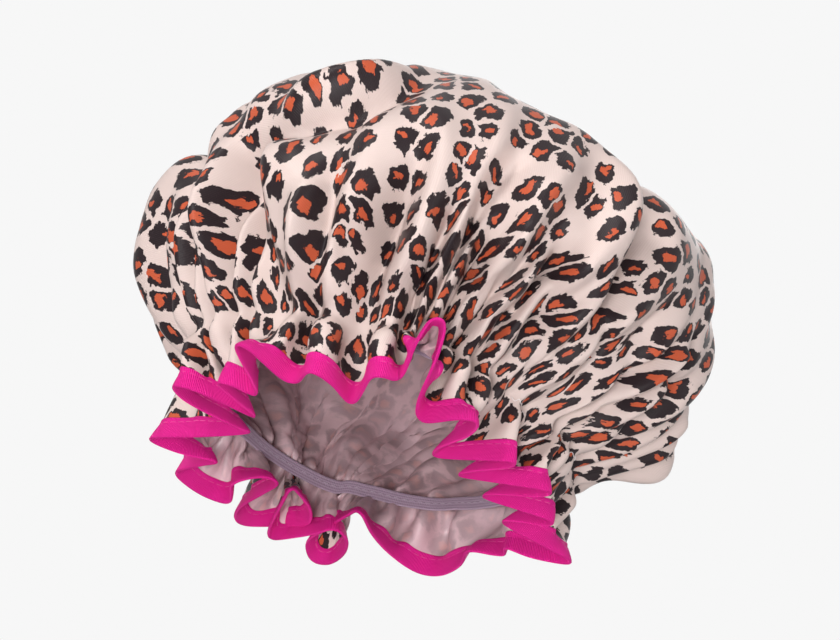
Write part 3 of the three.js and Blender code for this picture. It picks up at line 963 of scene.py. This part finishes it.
# The tape's folded section: distance in from the cloth's edge, and lift off its outer face.
tape_section = [
    (tape_width, 0.30), (7.6, 0.50), (6.8, 0.48), (6.1, 0.26), (5.4, 0.50), (3.6, 0.56),
    (1.8, 0.58), (0.3, 0.50), (-0.3, 0.34), (-0.55, -0.1), (-0.3, -0.56), (0.3, -0.76), (1.8, -0.82),
    (3.6, -0.86), (5.4, -0.82), (6.1, -0.58), (6.8, -0.80), (7.6, -0.80), (tape_width, -0.60),
    (7.9, -0.46), (4.0, -0.48), (1.0, -0.46), (0.3, -0.2), (0.3, 0.04), (1.0, 0.2), (4.0, 0.21),
    (7.9, 0.19),
]
tape_rings = [off_the_edge(inset, lift) for inset, lift in tape_section]
tape_points = np.stack(tape_rings, 1).reshape(-1, 3)
tape_map = []
for column in range(tape_columns):
    for inset, lift in tape_section:
        side = 1 if lift > 0 else -1
        tape_map.append((column / tape_columns * edge_length, side * (inset + 1)))
tape = piece_from("edge_tape", tape_points, looped_faces(tape_columns, len(tape_section)))
map_cloth(tape, np.array(tape_map), "run")

# The tape glows faintly by itself in its own pink: a painted glow that makes it brighter than the lamps
# alone do.
finish = Finish(
    "pink_tape", tape, Roughness=0.6, Specular_IOR_Level=0.2,
    Emission_Color=painted_glow_pink, Emission_Strength=0.07
)
along, across, place = finish.mapped_parts("run")
rib = (along * (2 * math.pi / rib_pitch)).maths("SINE")
cross_thread = (across * (2 * math.pi / thread_pitch)).maths("SINE")
faded = finish.grain(place, 90.0, 3.0)
coloured = finish.blended(faded, faded_pink, fresh_pink)
# The raised ribs are mixed towards the paler pink, a painted highlight, and the valleys between them
# towards the deeper pink, painted shade.
coloured = finish.blended(rib * 0.16 + 0.12, coloured, rib_painted_highlight)
coloured = finish.blended(rib * -0.1 + 0.04, coloured, valley_painted_shade)
weave = finish.raised(rib + cross_thread * 0.5, 0.0002, 1.0)
finish.surface(Base_Color=coloured, Normal=weave)

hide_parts("edge_binding")


# The sewing: pink topstitches on both faces of the binding, and a white seam that holds the
# elastic, seen on its inner face and as stray threads outside where the satin is gathered.

thread_radius = 0.14
thread_sides = 6
stitch_pitch = 3.6
stitch_share = 0.72
stitch_steps = 4
stitch_rise, stitch_sink = 0.16, 0.08
outer_lift, inner_lift = 0.36, -0.68
seam_pitch = 3.2
seam_radius = 0.1
dark_thread, light_thread = (0.85, 0.03, 0.30, 1), (0.95, 0.12, 0.45, 1)
# The seam's white thread inside the cap, coloured a darker lilac-grey than the same thread outside:
# painted shade of the cap's inside.
shaded_seam_dark, shaded_seam_light = (0.44, 0.37, 0.44, 1), (0.56, 0.49, 0.56, 1)
stray_white = (0.8, 0.74, 0.74, 1)


def thread_faces(start, rings):
    """The faces of a thread whose rings of points follow on from a first point, ends closed."""
    faces = []
    for ring in range(rings - 1):
        here, after = start + ring * thread_sides, start + (ring + 1) * thread_sides
        for corner in range(thread_sides):
            beside = (corner + 1) % thread_sides
            faces.append((here + corner, here + beside, after + beside, after + corner))
    faces.append(tuple(start + corner for corner in reversed(range(thread_sides))))
    last = start + (rings - 1) * thread_sides
    faces.append(tuple(last + corner for corner in range(thread_sides)))
    return faces


def thread_ring(middle, side, over, girth):
    """One ring of points round a thread."""
    ring = []
    for corner in range(thread_sides):
        angle = corner * 2 * math.pi / thread_sides
        ring.append(middle + (side * math.cos(angle) + over * math.sin(angle)) * girth)
    return ring


def stitches(name, line, lifts, pitch, radius):
    """Short rounded stitches along a closed line, each sinking into the cloth at its ends."""
    curve, length = spaced(line, 4 * len(line))
    lifted, _ = spaced(lifts, 4 * len(line))
    count = int(length / pitch)
    per_stitch = len(curve) / count
    points, faces = [], []
    for stitch in range(count):
        faces += thread_faces(len(points), stitch_steps + 1)
        for step in range(stitch_steps + 1):
            share = step / stitch_steps
            place = (stitch + share * stitch_share) * per_stitch
            low = int(place) % len(curve)
            high = (low + 1) % len(curve)
            blend = place - math.floor(place)
            middle = curve[low] * (1 - blend) + curve[high] * blend
            out = lifted[low] - curve[low]
            out /= np.linalg.norm(out) + 1e-9
            run = curve[high] - curve[low]
            run /= np.linalg.norm(run) + 1e-9
            side = np.cross(run, out)
            arch = math.sin(math.pi * share)
            girth = radius * (0.55 + 0.45 * arch)
            middle = middle + out * (arch * stitch_rise - stitch_sink)
            points += thread_ring(middle, side, out, girth)
    return piece_from(name, points, faces)


def topstitch(name, lift, outside):
    """The stitches on one face of the tape: how far that face lies, and where is outside it."""
    inset = tape_width - stitch_inset
    line, lifts = off_the_edge(inset, lift), off_the_edge(inset, outside)
    return stitches(name, line, lifts, stitch_pitch, thread_radius)


outer_stitches = topstitch("outer_topstitch", outer_lift, 2.0)
inner_stitches = topstitch("inner_topstitch", inner_lift, -2.4)
for sewn in (outer_stitches, inner_stitches):
    finish = Finish("pink_thread_of_" + sewn.name, sewn, Roughness=0.45, Sheen_Weight=0.2)
    place = finish.node("TexCoord", {}, {})("Object")
    twist = finish.grain(place, 2500.0, 1.0)
    finish.surface(Base_Color=finish.blended(twist, dark_thread, light_thread))

band_inner = np.array([
    round_the_front(math.degrees(turn), out - elastic_thickness - 0.02, up)
    for turn, out, up in zip(band_turn, band_out, band_up)
])
band_in_space = band_inner * [0.9, 0.9, 1]
elastic_stitches = stitches("elastic_seam", band_inner, band_in_space, seam_pitch, seam_radius)
# The inner seam's white thread is painted darker than the stray thread outside: painted shade of the
# cap's inside.
finish = Finish("white_thread", elastic_stitches, Roughness=0.4)
place = finish.node("TexCoord", {}, {})("Object")
twist = finish.grain(place, 2500.0, 1.0)
finish.surface(Base_Color=finish.blended(twist, shaded_seam_dark, shaded_seam_light))

# Where the white thread shows outside: degrees from the front, and how many columns it crosses.
seam_shows_at = [(25, 5), (39, 12), (70, 8)]
seam_lift = 0.45
high_share, low_share = 0.3, 0.75
points, faces = [], []
upper_seam, upper_out = (cloth_ring(values, above_elastic) for values in (cloth_points, outward))
lower_seam, lower_out = (cloth_ring(values, below_elastic) for values in (cloth_points, outward))
for degrees, columns in seam_shows_at:
    turn = np.degrees(np.arctan2(upper_seam[:, 0], -upper_seam[:, 1]))
    first = int(np.argmin(np.abs(turn - degrees)))
    corners = []
    for step in range(columns):
        column = (first + step) % column_count
        high = upper_seam[column] + upper_out[column] * seam_lift
        low = lower_seam[column] + lower_out[column] * seam_lift
        share = low_share if step % 2 else high_share
        corners.append(high * (1 - share) + low * share)
    line = through(corners, 4, closed=False)
    run = np.gradient(line, axis=0)
    side = np.cross(run, [0, 0, 1.0])
    side /= np.linalg.norm(side, axis=1)[:, None]
    over = np.cross(side, run / np.linalg.norm(run, axis=1)[:, None])
    faces += thread_faces(len(points), len(line))
    for place in range(len(line)):
        points += thread_ring(line[place], side[place], over[place], thread_radius)
seam_outside = piece_from("seam_outside", points, faces)
finish = Finish("white_thread_outside", seam_outside, Roughness=0.4)
finish.surface(Base_Color=stray_white)


# The studio: the cap is shown from below and in front, rolled a little, over a pale floor that
# is far beneath, in soft light from a large lamp at the upper left and weaker ones elsewhere.

look_up = math.radians(26)
roll = math.radians(17)
focal_pixels = 2680.0
picture_width, picture_height = 840, 640
distance = 1.0
neck_pixel = (378, 414)
sensor_width = 36

ahead = Vector((0, math.cos(look_up), math.sin(look_up)))
level_right = Vector((1, 0, 0))
level_up = Vector((0, -math.sin(look_up), math.cos(look_up)))
right = level_right * math.cos(roll) + level_up * math.sin(roll)
up = level_up * math.cos(roll) - level_right * math.sin(roll)
stand = elastic_centre - ahead * distance
stand -= right * (neck_pixel[0] - picture_width / 2) / focal_pixels * distance
stand -= up * (picture_height / 2 - neck_pixel[1]) / focal_pixels * distance
lens = bpy.data.cameras.new("picture_camera")
lens.sensor_width = sensor_width
lens.lens = sensor_width * focal_pixels / picture_width
camera = bpy.data.objects.new("picture_camera", lens)
camera.matrix_world = Matrix((
    (right.x, up.x, -ahead.x, stand.x),
    (right.y, up.y, -ahead.y, stand.y),
    (right.z, up.z, -ahead.z, stand.z),
    (0, 0, 0, 1),
))
bpy.context.collection.objects.link(camera)
bpy.context.scene.camera = camera

floor_height = -0.62
floor_reach = 14.0
floor_shape = bpy.data.meshes.new("floor")
floor_shape.from_pydata([
    (-floor_reach, -floor_reach, floor_height), (floor_reach, -floor_reach, floor_height),
    (floor_reach, floor_reach, floor_height), (-floor_reach, floor_reach, floor_height),
], [], [(0, 1, 2, 3)])
floor = bpy.data.objects.new("floor", floor_shape)
bpy.context.collection.objects.link(floor)
finish = Finish("pale_floor", floor, Roughness=0.9)
finish.surface(Base_Color=(0.9, 0.9, 0.9, 1))

world = bpy.data.worlds.new("studio")
world.use_nodes = True
bpy.context.scene.world = world
sky_nodes, sky_links = world.node_tree.nodes, world.node_tree.links
daylight = sky_nodes["Background"]
daylight.inputs["Color"].default_value = (0.95, 0.97, 1.0, 1)
daylight.inputs["Strength"].default_value = 0.3
backdrop = sky_nodes.new("ShaderNodeBackground")
backdrop.inputs["Color"].default_value = (0.93, 0.93, 0.93, 1)
backdrop.inputs["Strength"].default_value = 1.0
rays = sky_nodes.new("ShaderNodeLightPath")
chosen = sky_nodes.new("ShaderNodeMixShader")
shown = rays.outputs["Is Camera Ray"]
for ray in ("Is Glossy Ray", "Is Transmission Ray"):
    either = sky_nodes.new("ShaderNodeMath")
    either.operation = "MAXIMUM"
    sky_links.new(shown, either.inputs[0])
    sky_links.new(rays.outputs[ray], either.inputs[1])
    shown = either.outputs["Value"]
sky_links.new(shown, chosen.inputs["Fac"])
sky_links.new(daylight.outputs["Background"], chosen.inputs[1])
sky_links.new(backdrop.outputs["Background"], chosen.inputs[2])
sky_links.new(chosen.outputs["Shader"], sky_nodes["World Output"].inputs["Surface"])


lamp_target = Vector((0, 0, 0.08))


def lamp(name, place, size, power, colour=(1, 1, 1)):
    """A round soft lamp that points at the cap."""
    light = bpy.data.lights.new(name, "AREA")
    light.shape = "DISK"
    light.size = size
    light.energy = power
    light.color = colour
    held = bpy.data.objects.new(name, light)
    held.location = place
    aim = lamp_target - Vector(place)
    held.rotation_euler = aim.to_track_quat("-Z", "Y").to_euler()
    bpy.context.collection.objects.link(held)


lamp("upper_left_lamp", (-0.85, -1.05, 0.8), 0.42, 12, (1.0, 0.98, 0.96))
lamp("right_lamp", (1.2, -0.9, 0.2), 0.7, 4)
lamp("low_front_lamp", (-0.15, -1.0, -0.56), 0.4, 12)
lamp("high_back_lamp", (0.3, 1.2, 1.0), 0.9, 4)

bpy.context.scene.view_settings.view_transform = "Standard"
